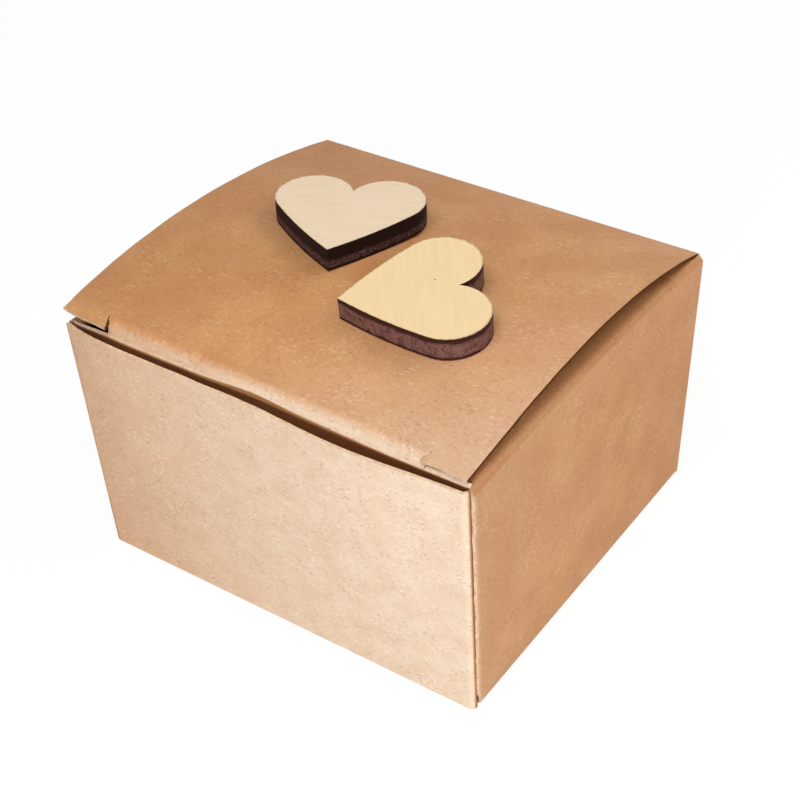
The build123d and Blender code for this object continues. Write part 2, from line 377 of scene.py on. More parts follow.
# Painted shade in brown over the last of the corner fold, where the seam's crack is.
seam_shade_share = np.clip((front_run - seam_from) / seam_run, 0, 1)
front_light_and_shade = front_highlight * (1 - seam_shade_share) - seam_shade * seam_shade_share
front_flat = joined(front_start + front_run, front_height)
front_panel = board_sheet("front_panel_board", front_middle, front_flat, crest=front_light_and_shade)
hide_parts("front_panel")
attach(front_panel, "sleeve")

# Glue flap: the narrow last panel of the blank, tapered at both ends so that it slips inside. It
# is glued flat to the inside of the right panel.
box_depth = 54.0
side_lean = 0.7
glue_width = 12.0
glue_inset, glue_taper = 2.5, 3.0
glue_start = front_start + 59.0


def lean_in(place, height):
    """How far a side panel leans in at a place along it: most at the middle of its top."""
    return side_lean * np.cos(np.pi * np.clip(place / box_depth, -0.5, 0.5)) * (height / box_height) ** 2


glue_plan, glue_out, glue_run, _ = wall_line((29.4, -26.2), 90, ((glue_width, 0, 12),))
glue_low = glue_inset + glue_taper * glue_run / glue_width
glue_height = glue_low + np.linspace(0, 1, 30)[:, None] * (box_height - 2 * glue_low)
glue_middle = sleeve_wall(glue_plan, glue_out, glue_height, 0 * glue_height)
glue_middle[..., 1] -= pushed(glue_height)
glue_middle[..., 0] -= lean_in(glue_middle[..., 1], glue_height)
glue_flap = board_sheet("glue_flap_board", glue_middle, joined(glue_start + glue_run, glue_height))
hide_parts("glue_flap")
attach(glue_flap, "sleeve")

# Right and left panels: the sleeve's sides, each creased at the top and foot into a dust flap.
# The right one ends at the front in the raw, slightly ragged cut that shows beside the seam, and
# its lower front corner is nicked.
side_line, side_end = 29.8, 26.2
side_belly = 0.18
top_crease, top_bend = 35.8, 0.5
foot_crease, foot_bend = 0.7, 0.5
raw_edge, raw_wander, raw_swell = -26.3, 0.05, 0.05
nick, nick_top, nick_run = 0.45, 2.6, 1.4
right_width, left_width = 52.5, 52.4
# Painted light: the right panel is painted paler towards its front end; the pale line at its raw cut is the
# cut's own fibre.
right_front_light, raw_rub = 0.1, 0.4
left_start = 112.8
fold_rub = 0.25
side_height = np.linspace(foot_crease + foot_bend, top_crease - top_bend, 121)[:, None]


def smooth(value):
    """A value held between 0 and 1 and eased at both ends."""
    value = np.clip(value, 0, 1)
    return value**2 * (3 - 2 * value)


def swell(heights):
    """How much a wall bellies out at each of its heights: most at the middle one."""
    return np.sin(np.pi * (heights - heights[0]) / np.ptp(heights))


right_runs = ((1.5, 0, 8), (2.5, 0, 5), (48.5, 0, 46))
right_plan, right_out, right_run, _ = wall_line((side_line, raw_edge), 90, right_runs)
right_near = np.clip(1 - right_run / 3.0, 0, 1) ** 2
right_drawn = np.clip(1 - right_run / 16.0, 0, 1) ** 2
right_belly = swell(side_height) * (
    side_belly * np.sin(np.pi * right_run / right_width) + raw_swell * right_near)
right_middle = sleeve_wall(right_plan, right_out, side_height, right_belly)
cut_back = nick * smooth((nick_top - side_height) / nick_run)
right_middle[..., 1] += (cut_back + ragged(len(side_height), raw_wander, 2)[:, None]) * right_near
right_middle[..., 1] -= pushed(side_height) * right_drawn
right_middle[..., 0] -= lean_in(right_middle[..., 1], side_height)
right_light_and_wear = right_front_light * (1 - right_run / right_width) ** 2 + raw_rub * np.exp(-((right_run / 0.35) ** 2))
right_panel = board_sheet(
    "right_panel_board", right_middle, joined(right_run, side_height), crest=right_light_and_wear)
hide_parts("right_panel")
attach(right_panel, "sleeve")

left_runs = ((left_width, 0, 48), (quarter_fold, 90, 10))
left_plan, left_out, left_run, left_crest = wall_line((-side_line, side_end), 270, left_runs)
left_belly = side_belly * swell(side_height) * np.sin(np.pi * np.clip(left_run / left_width, 0, 1))
left_fold = np.clip((left_run - left_width) / quarter_fold, 0, 1) ** 0.5
left_low = side_height[0] * (1 - left_fold)
left_high = side_height[-1] + (box_height - side_height[-1]) * left_fold
left_height = left_low + (left_high - left_low) * np.linspace(0, 1, len(side_height))[:, None]
left_middle = sleeve_wall(left_plan, left_out, left_height, left_belly)
left_middle[..., 0] += lean_in(left_middle[..., 1], left_height)
left_panel = board_sheet(
    "left_panel_board", left_middle, joined(left_start + left_run, left_height), crest=fold_rub * left_crest)
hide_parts("left_panel")
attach(left_panel, "sleeve")
side_columns = {1: len(right_run), -1: np.count_nonzero(left_run < left_width - 0.01) + 1}

# Back panel: it carries the lid along its top crease and the bottom along its foot, and turns
# through a scored fold at each end into the side panels.
back_line = 26.8
back_belly = 0.2
lid_reach, lid_lift, lid_arch = 53.3, 1.1, 4.0
lid_chord = np.hypot(lid_reach, lid_lift)
arch_radius = (lid_chord**2 / 4 + lid_arch**2) / (2 * lid_arch)
arch_half = np.arcsin(lid_chord / 2 / arch_radius)
hinge_angle = np.pi / 2 - np.arctan2(lid_lift, lid_reach) - arch_half
hinge_bend = 0.9
hinge_length = hinge_bend * np.tan(hinge_angle / 2)
back_runs = ((quarter_fold, 90, 10), (58.4, 0, 48), (quarter_fold, 90, 10))
back_plan, back_out, back_run, back_crest = wall_line((side_line, side_end), 90, back_runs)
back_height = np.linspace(foot_crease, top_crease - hinge_length, 41)[:, None]
back_swell = back_belly * swell(back_height) * np.sin(np.pi * back_run / back_run[-1])
back_middle = sleeve_wall(back_plan, back_out, back_height, back_swell)
back_panel = board_sheet(
    "back_panel_board", back_middle, joined(right_width + back_run, back_height), crest=fold_rub * back_crest)
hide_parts("back_panel")
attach(back_panel, "sleeve")

# Dust flaps: four small flaps folded in from the tops and feet of the side panels, with round
# free corners and a slanted back edge. Each hangs on a soft rounded crease of the same board.
dust_front, dust_back = -22.3, 24.9
dust_web, web_from, web_run = 3.7, 0.6, 4.5
dust_sag, sag_run = 0.8, 6.0
dust_curl, foot_curl = 0.25, 0.3
dust_reach = 18.2
dust_corner, dust_straight = 3.0, 0.84
dust_slant_front, dust_slant_back = 1.0, 10.5
# Painted shade: the dust flaps' creases are painted brown, most at the middle of each bend.
dust_crease_shade = 0.3
dust_start = 90
dust_bends = {1: (top_bend, top_crease), -1: (foot_bend, foot_crease)}


def dust_root(side, level, root, inward):
    """Places across the box at a length inwards from a side panel's crease, for places along its root."""
    bend, crease = dust_bends[level]
    edge = crease - level * bend
    return side * (side_line * drawn_in(edge) - bend - inward - lean_in(root, edge))


def dust_crease(side, level, front, behind):
    """Crease of a dust flap: a quarter arc carried along the whole side panel, painted brown as shade most at
    the middle of its bend.
    """
    bend, crease = dust_bends[level]
    turn = np.pi / 2 * eased(10, bend)[:, None]
    root = np.linspace(front, behind, 55)[None, ::side * level]
    height = crease - level * (bend - bend * np.sin(turn))
    middle = joined(dust_root(side, level, root, -bend * np.cos(turn)), root, height)
    flat = joined(root + dust_start * side, height + level * bend * turn)
    return middle, flat, -dust_crease_shade * np.abs(np.sin(2 * turn)) ** 0.5


def dust_panel(side, level):
    """Dust flap: rows inwards from its root, between slanted and rounded ends, sagging a little."""
    late = 1 - (1 - dust_straight) * (1 - np.sin(np.linspace(0, np.pi / 2, 12)))[1:]
    early = np.r_[0, 0.001, np.linspace(0, 0.28, 13)[1:], np.linspace(0.3, dust_straight, 13)]
    share = np.r_[early, late][:, None]
    inward = dust_reach * share
    past = np.clip(inward - dust_reach + dust_corner, 0, dust_corner)
    rounding = dust_corner - np.sqrt(dust_corner**2 - past**2)
    web = dust_web * (1 - smooth((inward - web_from) / web_run))
    near = dust_front - web + dust_slant_front * share + rounding
    far = dust_back - dust_slant_back * share - rounding
    root = near + (far - near) * np.linspace(0, 1, 45)[None, ::side * level]
    curl = dust_curl * share**2 * np.sin(np.pi * np.clip(root / box_depth + 0.5, 0, 1))
    lift = curl - dust_sag * smooth(inward / sag_run) if level > 0 else foot_curl * curl
    middle = joined(dust_root(side, level, root, inward), root, dust_bends[level][1] + lift)
    return middle, joined(root + dust_start * side, box_height * (level > 0) + level * inward)


for side, side_name, panel in ((1, "right", right_middle), (-1, "left", left_middle)):
    for level, closure in ((1, ""), (-1, "bottom_")):
        body = f"{closure}{side_name}_dust"
        flap = board_sheet(f"{body}_flap_board", *dust_panel(side, level))
        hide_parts(f"{body}_flap")
        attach(flap, body)
        ends = panel[-1 if level > 0 else 0, [0, side_columns[side] - 1], 1]
        middle, flat, crest = dust_crease(side, level, ends.min(), ends.max())
        crease = board_sheet(f"{body}_crease", middle, flat, crest=crest)
        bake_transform(crease)

# Lid: the arched top panel, sprung up between its crease and the tucked front. It is twisted a
# little, with its left front corner raised, and a hooked slit at each end frees a small ear.
lid_half = 29.2
lid_skew = 0.3
lid_length = 2 * arch_half * arch_radius + 0.4
left_rise, right_rise = (-3.06, 5.6, -1.25), (-1.0, -2.75, 3.3)
front_lift = 0.42
# Painted light and shade on the lid: a highlight at its right front corner, paler towards the right and
# darker towards the left; its cut sides and the left ear's hook are painted brown as shade.
corner_highlight, lid_light_to_right, lid_painted_shade = 0.4, 0.26, 0.18
slit_hook = 1.8
slit_place = lid_length - slit_hook
slit_inner, slit_outer = 23.2, 23.32
slit_shift = 0.35
slit_steps = 48
rim_step, ear_step = 0.05, 0.4
ear_hook = 0.5
ear_drop, hook_drop, drop_run = 0.2, 0.2, 1.4
crease_rub = 0.2
back_start = 53.44
closure_run = 50.0
tiny = 0.01
arch_centre = np.array([
    back_line - arch_radius * np.cos(hinge_angle), top_crease - arch_radius * np.sin(hinge_angle)])


def lid_rise(across, length):
    """How far the lid lies above its plain arc: a curve along each side edge, joined straight across."""
    share = np.clip(length / lid_length, 0, 1)
    left, right = [share * (a + share * (b + c * share)) for a, b, c in (left_rise, right_rise)]
    right = right + front_lift * share**12
    return right + (left - right) * (lid_half - across) / (2 * lid_half)


def lid_arc(across, length):
    """The lid's middle surface, by width across and length from the hinge."""
    angle = hinge_angle + length / arch_radius
    aside = across - lid_skew * np.clip(length / slit_place, 0, 1)
    height = arch_centre[1] + arch_radius * np.sin(angle) + lid_rise(across, length)
    return joined(aside, arch_centre[0] + arch_radius * np.cos(angle), height)


def lid_light_and_shade(across, length):
    """Painted light and shade on the lid: a highlight at its right front corner, paler to the right, darker
    to the left, and brown shade at its cut sides and the left ear's hook.
    """
    right_share = (lid_half + across) / (2 * lid_half)
    tone_shift = corner_highlight * (length / lid_length) ** 3 * right_share**1.5 + lid_light_to_right * right_share - lid_painted_shade
    # Painted shade in brown on the cut side of the left ear's hook and on the lid's cut sides.
    hook_shade = (np.abs(across - slit_shift + slit_outer) < tiny) & (length > slit_place + tiny)
    return np.where(hook_shade | (np.abs(across) > lid_half - tiny), -1.0, tone_shift)


def closure_blank(across, height):
    """A closure's place on the unfolded blank, above or below the back panel."""
    return joined(back_start + lid_half - across, height)


def slit_columns(half, shift=0.0):
    """Places across a closure from right to left, with a thin gap for the slit at each end."""
    between = np.linspace(slit_inner, -slit_inner, slit_steps) + shift
    right, left = [
        np.r_[half, half - rim_step, np.linspace(half - ear_step, end + ear_step, 8), end + rim_step, end]
        for end in (slit_outer + shift, slit_outer - shift)]
    return np.r_[right, between, -left[::-1]]


def closure_rows(start, slit, end, steps, ear_steps):
    """Rows of a closure as a column of lengths: from its crease to its slit, and on along its ears."""
    behind = start + (slit - start) * eased(steps, closure_run)
    return np.r_[behind, np.linspace(slit, end, ear_steps + 1)[1:]][:, None]


def beside(columns, shift=0.0):
    """The cells across a closure that lie outside its two slits."""
    return np.abs((columns[1:] + columns[:-1]) / 2 - shift) > slit_outer


def freed(rows, slit, outside):
    """The cells of a closure that its cutting leaves: all behind the slit, and only the ears beyond it."""
    return (rows[1:] <= slit + 0.001) | outside[None, :]


lid_across = slit_columns(lid_half, slit_shift)
lid_rows = closure_rows(hinge_length, slit_place, lid_length, 52, 6)
lid_middle = lid_arc(lid_across, lid_rows)
past_slit = smooth((lid_rows - slit_place) / slit_hook)
from_slit = np.abs(lid_across - slit_shift) - slit_outer
ear_share = np.clip(from_slit / (lid_half - slit_outer), 0, 1)
ear_in = np.where(from_slit < -tiny, 0, np.sign(lid_across) * (1 - ear_share))
lid_middle[..., 0] -= ear_hook * ear_in * past_slit
left_ear = smooth((lid_across + lid_half) / drop_run) * (lid_across < slit_shift - slit_outer + tiny)
lid_middle[..., 2] -= (ear_drop + hook_drop * (1 - ear_share)) * left_ear * past_slit
lid_middle[-1, :, 1] += ragged(lid_across.size, cut_wander, 3)
for column, seed in ((0, 4), (-1, 5)):
    lid_middle[:, column, 0] += ragged(len(lid_rows), cut_wander, seed)
lid_panel = board_sheet(
    "lid_panel_board",
    lid_middle,
    closure_blank(lid_across, box_height + lid_rows),
    freed(lid_rows, slit_place, beside(lid_across, slit_shift)),
    lid_light_and_shade(lid_across, lid_rows),
)
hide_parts("lid_panel")
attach(lid_panel, "lid")

hinge_turn = hinge_angle * eased(10, hinge_bend)[:, None]
hinge_across = np.linspace(lid_half, -lid_half, 49)
hinge_y = back_line - hinge_bend + hinge_bend * np.cos(hinge_turn)
hinge_z = top_crease - hinge_length + hinge_bend * np.sin(hinge_turn)
hinge_middle = joined(hinge_across, hinge_y, hinge_z)
lid_crease = board_sheet(
    "lid_crease",
    hinge_middle,
    closure_blank(hinge_across, box_height + hinge_bend * hinge_turn - hinge_length),
    crest=crease_rub * np.sin(np.pi * hinge_turn / hinge_angle),
)
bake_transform(lid_crease)

# Lid's front roll and tuck flap: between the slits the lid turns down, with a painted highlight along
# the roll, to a sharp crease that runs on below the ears. From there the flap leans back behind the front
# panel.
crease_bend, crease_length = 0.3, 0.45
crease_from, crease_to = np.radians([55, 108])
crease_y, crease_z = -26.3, 36.16
crease_forward, crease_low = 0.3, 0.25
left_back, left_sink = 0.32, 0.4
rise_height, rise_place, rise_spread = 0.52, -0.5, 4.5
roll_pull, roll_end_pull = 80, 0.8
roll_highlight_left, roll_highlight_gain, roll_highlight_run = 0.42, 0.55, 1.6
roll_reach = 2.1
tuck_half, tuck_depth, tuck_corner = 28.6, 12.6, 7.0
tuck_tip, tip_angle = np.array([-23.75, 23.6]), np.radians(97)
tuck_pull, tip_pull = 2.2, 5.0
shoulder, shoulder_gain = 0.15, 0.2
shoulder_light, shoulder_light_gain, shoulder_light_depth = 0.75, 0.2, 0.2


def heading(angle):
    """Direction in the YZ plane: 0 is straight forward and a quarter turn is straight down."""
    return -joined(np.cos(angle), np.sin(angle))


def bent_line(start, start_pull, end, end_pull, share):
    """A cubic curve from a start to an end, led out and in by two pulls."""
    share = share[..., None]
    led, leading = start + start_pull, end - end_pull
    left = 1 - share
    return left**3 * start + 3 * left**2 * share * led + 3 * left * share**2 * leading + share**3 * end


def crease_line(across):
    """The tuck's crease: lower at both ends, forward to the right, with a rise in the middle."""
    aside = smooth((across - 2.0) / 20.0)
    drawn = left_back * smooth((-across - 19.0) / 8.0)
    sunk = left_sink * smooth((-across - 21.5) / 6.5)
    rise = rise_height * np.exp(-((across - rise_place) / rise_spread) ** 2)
    return joined(crease_y - crease_forward * aside + drawn, crease_z - crease_low * aside - sunk + rise)


def flap_outline(half, depth, corner):
    """Rows and widths of a tuck flap: shares of its depth, and of its width that its round corners leave."""
    straight = 0.44
    late = straight + (1 - straight) * np.sin(np.linspace(0.1, np.pi / 2, 14))
    share = np.r_[0, 0.002, np.linspace(0, straight, 9)[1:], late][:, None]
    past = np.clip(share * depth - depth + corner, 0, corner)
    return share, 1 - (corner - np.sqrt(corner**2 - past**2)) / half


def carried(across, profile):
    """A profile in the YZ plane carried across the box."""
    return joined(across, profile[..., 0], profile[..., 1])


roll_across = np.linspace(slit_inner, -slit_inner, slit_steps) + slit_shift
roll_start = lid_arc(roll_across, slit_place)[:, 1:]
roll_lead = roll_pull * (roll_start - lid_arc(roll_across, slit_place - 0.01)[:, 1:])
roll_end, roll_end_lead = crease_line(roll_across), roll_end_pull * heading(crease_from)
roll_profile = bent_line(roll_start, roll_lead, roll_end, roll_end_lead, eased(18, 2.0)[:, None])
roll_middle = carried(roll_across - lid_skew, roll_profile)
roll_steps = np.linalg.norm(np.diff(roll_profile, axis=0), axis=2)
roll_length = np.concatenate([np.zeros((1, slit_steps)), np.cumsum(roll_steps, axis=0)])
# Painted highlight along the roll, growing to the right, eased in from the lid's own painted light.
roll_highlight = roll_highlight_left + roll_highlight_gain * smooth((roll_across + 24) / 36)
roll_start_light = lid_light_and_shade(roll_across, slit_place)
roll_light = roll_start_light + (roll_highlight - roll_start_light) * smooth(roll_length / roll_highlight_run)
roll_flat = closure_blank(roll_across, box_height + slit_place + roll_length)
lid_roll = board_sheet("lid_front_roll", roll_middle, roll_flat, crest=roll_light)
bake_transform(lid_roll)

tuck_across = slit_columns(tuck_half, slit_shift)
tuck_crease = crease_line(tuck_across)
strip_width = shoulder + shoulder_gain * smooth(tuck_across / 24)
strip = strip_width[None, :, None] * np.linspace(1, 0, 6)[:-1, None, None]
crease_share = eased(10, crease_length)[:, None]
crease_turn = crease_from + (crease_to - crease_from) * crease_share
crease_arc = crease_bend * joined(
    np.sin(crease_from) - np.sin(crease_turn), np.cos(crease_turn) - np.cos(crease_from))
tuck_share, tuck_drawn = flap_outline(tuck_half, tuck_depth, tuck_corner)
tuck_lead, tip_lead = tuck_pull * heading(crease_to), tip_pull * heading(tip_angle)
tuck_fall = bent_line(tuck_crease + crease_arc[-1], tuck_lead, tuck_tip, tip_lead, tuck_share)
tuck_profile = np.concatenate([
    tuck_crease - strip * heading(crease_from), tuck_crease + crease_arc, tuck_fall[1:]])
tuck_root = np.ones((len(strip) + len(crease_arc), 1))
tuck_wide = np.concatenate([tuck_root, tuck_drawn[1:]])
tuck_near = np.concatenate([tuck_root, (1 - tuck_share[1:]) ** 4])
tuck_skew = lid_skew * (1 - (2 + tuck_near) * smooth((tuck_across - slit_outer) / 5.0))
tuck_down = np.concatenate([
    -strip[:, :1, 0], crease_length * crease_share, crease_length + tuck_depth * tuck_share[1:]])
tuck_kept = np.ones((len(tuck_profile) - 1, len(tuck_across) - 1), bool)
tuck_kept[: len(strip)] = beside(tuck_across, slit_shift)
# Painted light on the tuck's shoulders under the ears and along the top of its crease, paler towards the
# right.
tuck_shoulder_light = shoulder_light + shoulder_light_gain * smooth((tuck_across + 24) / 40)
tuck_flap = board_sheet(
    "lid_tuck_flap_board",
    carried(tuck_wide * tuck_across - tuck_skew, tuck_profile),
    closure_blank(tuck_wide * tuck_across, box_height + slit_place + roll_reach + tuck_down),
    tuck_kept,
    np.where(tuck_down < shoulder_light_depth, tuck_shoulder_light, 0),
)
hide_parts("lid_tuck_flap")
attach(tuck_flap, "lid_tuck")

# Bottom closure: cut like the top but lying flat, folded over the foot's dust flaps and tucked up
# behind the front panel. It carries the box on the table.
bottom_half, bottom_crease_half = 28.7, 28.6
bottom_line = back_line * drawn_in(foot_crease)
bottom_bend = 0.5
bottom_level = 0.2
bottom_length = 52.1
bottom_slit = bottom_length - 1.6
bottom_roll_bend, bottom_roll_reach, bottom_roll_rub = 1.0, 1.75, 0.4
bottom_lean = np.radians(10)
bottom_tuck_half, bottom_tuck_depth, bottom_shoulder = 28.0, 12.0, 0.5


bottom_across = slit_columns(bottom_half)[::-1]
bottom_rows = closure_rows(bottom_bend, bottom_slit, bottom_length, 40, 4)
bottom_panel = board_sheet(
    "bottom_panel_board",
    joined(bottom_across, bottom_line - bottom_rows, bottom_level),
    closure_blank(bottom_across, -bottom_rows),
    freed(bottom_rows, bottom_slit, beside(bottom_across)),
)
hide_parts("bottom_panel")
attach(bottom_panel, "bottom")

bottom_turn = np.pi / 2 * eased(8, bottom_bend)[:, None]
bottom_y = bottom_line - bottom_bend + bottom_bend * np.cos(bottom_turn)
bottom_z = bottom_level + bottom_bend - bottom_bend * np.sin(bottom_turn)
bottom_hinge = joined(np.linspace(-bottom_crease_half, bottom_crease_half, 49), bottom_y, bottom_z)
bottom_crease = board_sheet(
    "bottom_crease",
    bottom_hinge,
    closure_blank(bottom_hinge[..., 0], bottom_bend - bottom_bend * bottom_turn),
    crest=crease_rub * np.sin(2 * bottom_turn),
)
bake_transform(bottom_crease)

bottom_roll_centre = np.array([bottom_line - bottom_slit, bottom_level + bottom_roll_bend])
bottom_roll_turn = ((np.pi / 2 + bottom_lean) * eased(10, 1.5))[:, None]
bottom_roll_profile = bottom_roll_centre - bottom_roll_bend * joined(
    np.sin(bottom_roll_turn), np.cos(bottom_roll_turn))
bottom_roll_across = np.linspace(-slit_inner, slit_inner, slit_steps)
bottom_roll_middle = carried(bottom_roll_across, bottom_roll_profile)
bottom_roll = board_sheet(
    "bottom_front_roll",
    bottom_roll_middle,
    closure_blank(bottom_roll_across, -bottom_slit - bottom_roll_bend * bottom_roll_turn),
    crest=bottom_roll_rub * np.sin(np.pi * bottom_roll_turn / bottom_roll_turn[-1]),
)
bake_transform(bottom_roll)

bottom_share, bottom_drawn = flap_outline(bottom_tuck_half, bottom_tuck_depth, tuck_corner)
bottom_drop = np.r_[-bottom_shoulder, bottom_tuck_depth * bottom_share[:, 0]][:, None]
bottom_wide = np.r_[1, bottom_drawn[:, 0]][:, None]
bottom_tuck_across = bottom_wide * slit_columns(bottom_tuck_half)[::-1]
bottom_up = joined(np.sin(bottom_lean), np.cos(bottom_lean))
bottom_tuck_profile = bottom_roll_profile[-1] + bottom_drop[..., None] * bottom_up
bottom_tuck_kept = np.ones((len(bottom_drop) - 1, bottom_tuck_across.shape[1] - 1), bool)
bottom_tuck_kept[0] = beside(bottom_tuck_across[0])
bottom_tuck = board_sheet(
    "bottom_tuck_flap_board",
    carried(bottom_tuck_across, bottom_tuck_profile),
    closure_blank(bottom_tuck_across, -bottom_slit - bottom_roll_reach - bottom_drop),
    bottom_tuck_kept,
)
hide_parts("bottom_tuck_flap")
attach(bottom_tuck, "bottom_tuck")

# Hearts: two small hearts cut by laser from three-ply board. The faces are pale unfinished veneer,
# and the cut edges are scorched brown, darkest along the two outer plies.
heart_middle = 9.0
lobe_radius, lobe_offset, lobe_height = 5.0, 4.72, 12.6
heart_side = 60.0
heart_pitch = np.radians(2.0)
ply = 1.0
glue_rise = 0.15
rim_from, rim_run = 0.975, 0.02


def heart_outline():
    """Outline of a heart about its middle, anticlockwise from the tip.

    Half of it is a wide arc from the tip that runs on into a round lobe as far as the notch, and the
    other half is its mirror image.
    """
    reach = np.hypot(lobe_offset, lobe_height)
    along = (heart_side**2 + reach**2 - (heart_side - lobe_radius) ** 2) / (2 * reach)
    bearing = np.arctan2(lobe_height, lobe_offset) + np.arccos(along / heart_side)
    centre = heart_side * np.array([np.cos(bearing), np.sin(bearing)])
    lobe = np.arctan2(lobe_height - centre[1], lobe_offset - centre[0])
    notch = np.pi - np.arccos(lobe_offset / lobe_radius)
    side = np.linspace(bearing - np.pi, lobe, 22)[:-1]
    lobes = np.linspace(lobe, notch, 56)
    half = np.concatenate([
        centre + heart_side * joined(np.cos(side), np.sin(side)),
        [lobe_offset, lobe_height] + lobe_radius * joined(np.cos(lobes), np.sin(lobes)),
    ])
    half[[0, -1], 0] = 0
    mirrored = half[-2:0:-1] * [-1, 1]
    return np.concatenate([half, mirrored]) - [0, heart_middle]


def veneer(name, pale, deep, turn, knot):
    """Pale veneer: faint long grain, a few fine pores, one pin knot and a scorched line at its outline."""
    made, tree, shader = new_material(name)
    face = node(tree, "ShaderNodeUVMap", uv_map="cut").outputs[0]
    streak = cloud(tree, stretched(tree, face, (9, 1, 1), turn), 0.8, 3.0)
    colour = tint(tree, ramp(tree, streak, 0.3, 0.75), pale, deep)
    pores = strokes(tree, face, turn, 1.3, 0.08, 0.3, 7)
    colour = tint(tree, product(tree, pores, 0.1), colour, (0.45, 0.28, 0.14))
    apart = vectors(tree, "DISTANCE", face, knot, "Value")
    colour = tint(tree, ramp(tree, apart, 0.06, 0.2, 0.8, 0.0), colour, (0.16, 0.06, 0.03))
    patchy = ramp(tree, cloud(tree, face, 0.5), 0.3, 0.7, 0.3, 0.9)
    colour = tint(tree, product(tree, carried_value(tree, "rim"), patchy), colour, (0.20, 0.095, 0.045))
    finish_look(tree, shader, colour, ramp(tree, streak, 0.3, 0.7, 0.5, 0.62), 0.35, streak, 0.12, 0.04)
    return made


def scorched_edge(name, char, glow, middle_to):
    """Laser-cut edge: char near black along both faces, purplish brown between, with upright beam marks."""
    made, tree, shader = new_material(name)
    edge = node(tree, "ShaderNodeUVMap", uv_map="cut").outputs[0]
    height = node(tree, "ShaderNodeSeparateXYZ", {0: edge}).outputs[1]
    beam = cloud(tree, stretched(tree, edge, (0.16, 2.2, 1)), 1.0)
    level = math(tree, "ADD", height, product(tree, cloud(tree, edge, 1.6), 0.5))
    lower = ramp(tree, level, 0.45, 0.75)
    upper = ramp(tree, level, middle_to, middle_to + 0.5, 1.0, 0.0)
    middle = product(tree, lower, upper)
    colour = tint(tree, middle, char, glow)
    colour = tint(tree, ramp(tree, beam, 0.4, 0.8, 0.0, 0.35), colour, char)
    mottle = ramp(tree, cloud(tree, edge, 0.9, 4.0), 0.42, 0.72, 0.0, 0.6)
    colour = tint(tree, mottle, colour, char)
    specks = ramp(tree, cloud(tree, edge, 0.3), 0.58, 0.70, 0.0, 0.4)
    colour = tint(tree, product(tree, specks, middle), colour, (0.330, 0.190, 0.150))
    finish_look(tree, shader, colour, 0.6, 0.08, beam, 0.5, 0.06)
    return made


def ringed_solid(name, rings, poles):
    """A closed solid from rings of points laid over each other, shut by a point below and a point above.

    Returns the mesh, its quads and its caps, with the rings numbered from below.
    """
    count, around = rings.shape[:2]
    column = np.arange(around)
    following = (column + 1) % around
    rows = np.arange(count - 1)[:, None] * around
    above = rows + around
    quads = joined(rows + column, rows + following, above + following, above + column).reshape(-1, 4)
    last = (count - 1) * around
    below = np.full(around, count * around)
    caps = np.concatenate([
        joined(below, following, column), joined(below + 1, last + column, last + following)])
    mesh = bpy.data.meshes.new(name)
    points = np.concatenate([rings.reshape(-1, 3), poles])
    mesh.from_pydata(points * mm, [], [*quads.tolist(), *caps.tolist()])
    return mesh, quads, caps


def heart_ply(name, foot, top, placing, looks):
    """One ply of a heart: rings of its outline, shrunk towards the middle over both faces.

    placing is the heart's origin on the lid and its three directions. Faces take the veneer, with a
    rim value near the outline, and the edge takes the scorched look by its length and height.
    """
    shrink = np.r_[0.3, 0.6, 0.85, 0.95, 0.975, 0.987, 1.0]
    outline = heart_outline()
    scale = np.r_[shrink, shrink[::-1]]
    height = np.repeat([foot, top], len(shrink))
    flat = outline * scale[:, None, None]
    local = joined(flat[..., 0], flat[..., 1], height[:, None])
    poles = np.array([[0, 0, foot], [0, 0, top]])
    origin, directions = placing
    mesh, quads, caps = ringed_solid(name, origin + local @ directions, origin + poles @ directions)

    count = len(outline)
    upright = slice((len(shrink) - 1) * count, len(shrink) * count)
    places = np.concatenate([local.reshape(-1, 3), poles])[:, :2]
    quad_cut = places[quads]
    steps = np.linalg.norm(np.diff(np.vstack([outline, outline[:1]]), axis=0), axis=1)
    around = np.r_[0, np.cumsum(steps)]
    lengths = joined(around[:-1], around[1:], around[1:], around[:-1])
    quad_cut[upright] = joined(lengths, [foot, foot, top, top])
    cut = np.concatenate([quad_cut.reshape(-1, 2), places[caps].reshape(-1, 2)])
    slots = np.zeros(len(quads) + len(caps), int)
    slots[upright] = 1
    dress(mesh, looks, slots, "cut", cut, 35)
    carry(mesh, "rim", np.r_[np.repeat(np.clip((scale - rim_from) / rim_run, 0, 1), count), 0, 0])
    return placed(name, mesh)


def heart_place(middle, turn):
    """Origin and directions of a heart on the lid at a point: raised a little at the back, and turned."""
    length = arch_radius * (np.arccos((middle[1] - arch_centre[0]) / arch_radius) - hinge_angle)
    across = middle[0] + lid_skew * length / slit_place
    foot = lid_arc(across, length)
    right = unit(lid_arc(across + 1.0, length) - foot)
    normal = unit(np.cross(right, lid_arc(across, length - 1.0) - foot))
    behind = np.cross(normal, right)
    foot = foot + normal * (board / 2 + glue_rise)
    behind, normal = (
        np.cos(heart_pitch) * behind + np.sin(heart_pitch) * normal,
        np.cos(heart_pitch) * normal - np.sin(heart_pitch) * behind,
    )
    spin = np.radians(turn)
    along = np.cos(spin) * right + np.sin(spin) * behind
    return foot, np.stack([along, np.cross(normal, along), normal])


